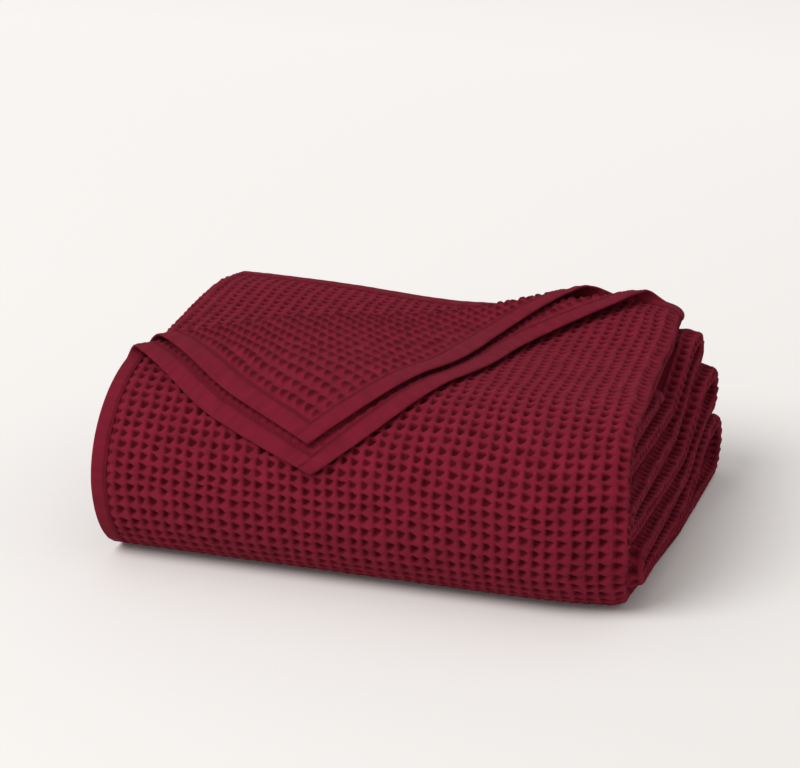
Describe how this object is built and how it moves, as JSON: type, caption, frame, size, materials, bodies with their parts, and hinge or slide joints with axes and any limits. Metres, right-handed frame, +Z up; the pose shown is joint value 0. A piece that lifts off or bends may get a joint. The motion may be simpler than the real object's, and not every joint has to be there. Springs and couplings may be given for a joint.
{
  "type": "folded waffle weave cotton blanket",
  "caption": "Waffle weave cotton bed blanket folded into a soft layered pad, with bound hems and one top corner turned over to the front.",
  "frame": {"origin": "middle of the bounding box's underside, on the surface that the folded blanket rests on", "axes": "+X along the folded pad's length, towards the end where the strip's fold shows; +Y from the rounded front edge towards the back folds; +Z up through the layers"},
  "size_m": [0.4314, 0.344, 0.172],
  "materials": {
    "waffle_cotton": "matt yarn in a deep waffle weave, crimson",
    "binding_cotton": "matt plain weave tape, crimson"
  },
  "bodies": {
    "root": {"waffle_panel": "waffle_cotton", "binding_top_end": "binding_cotton", "binding_inner_end": "binding_cotton", "binding_outer_side": "binding_cotton", "binding_inner_side": "binding_cotton"}
  },
  "joints": []
}
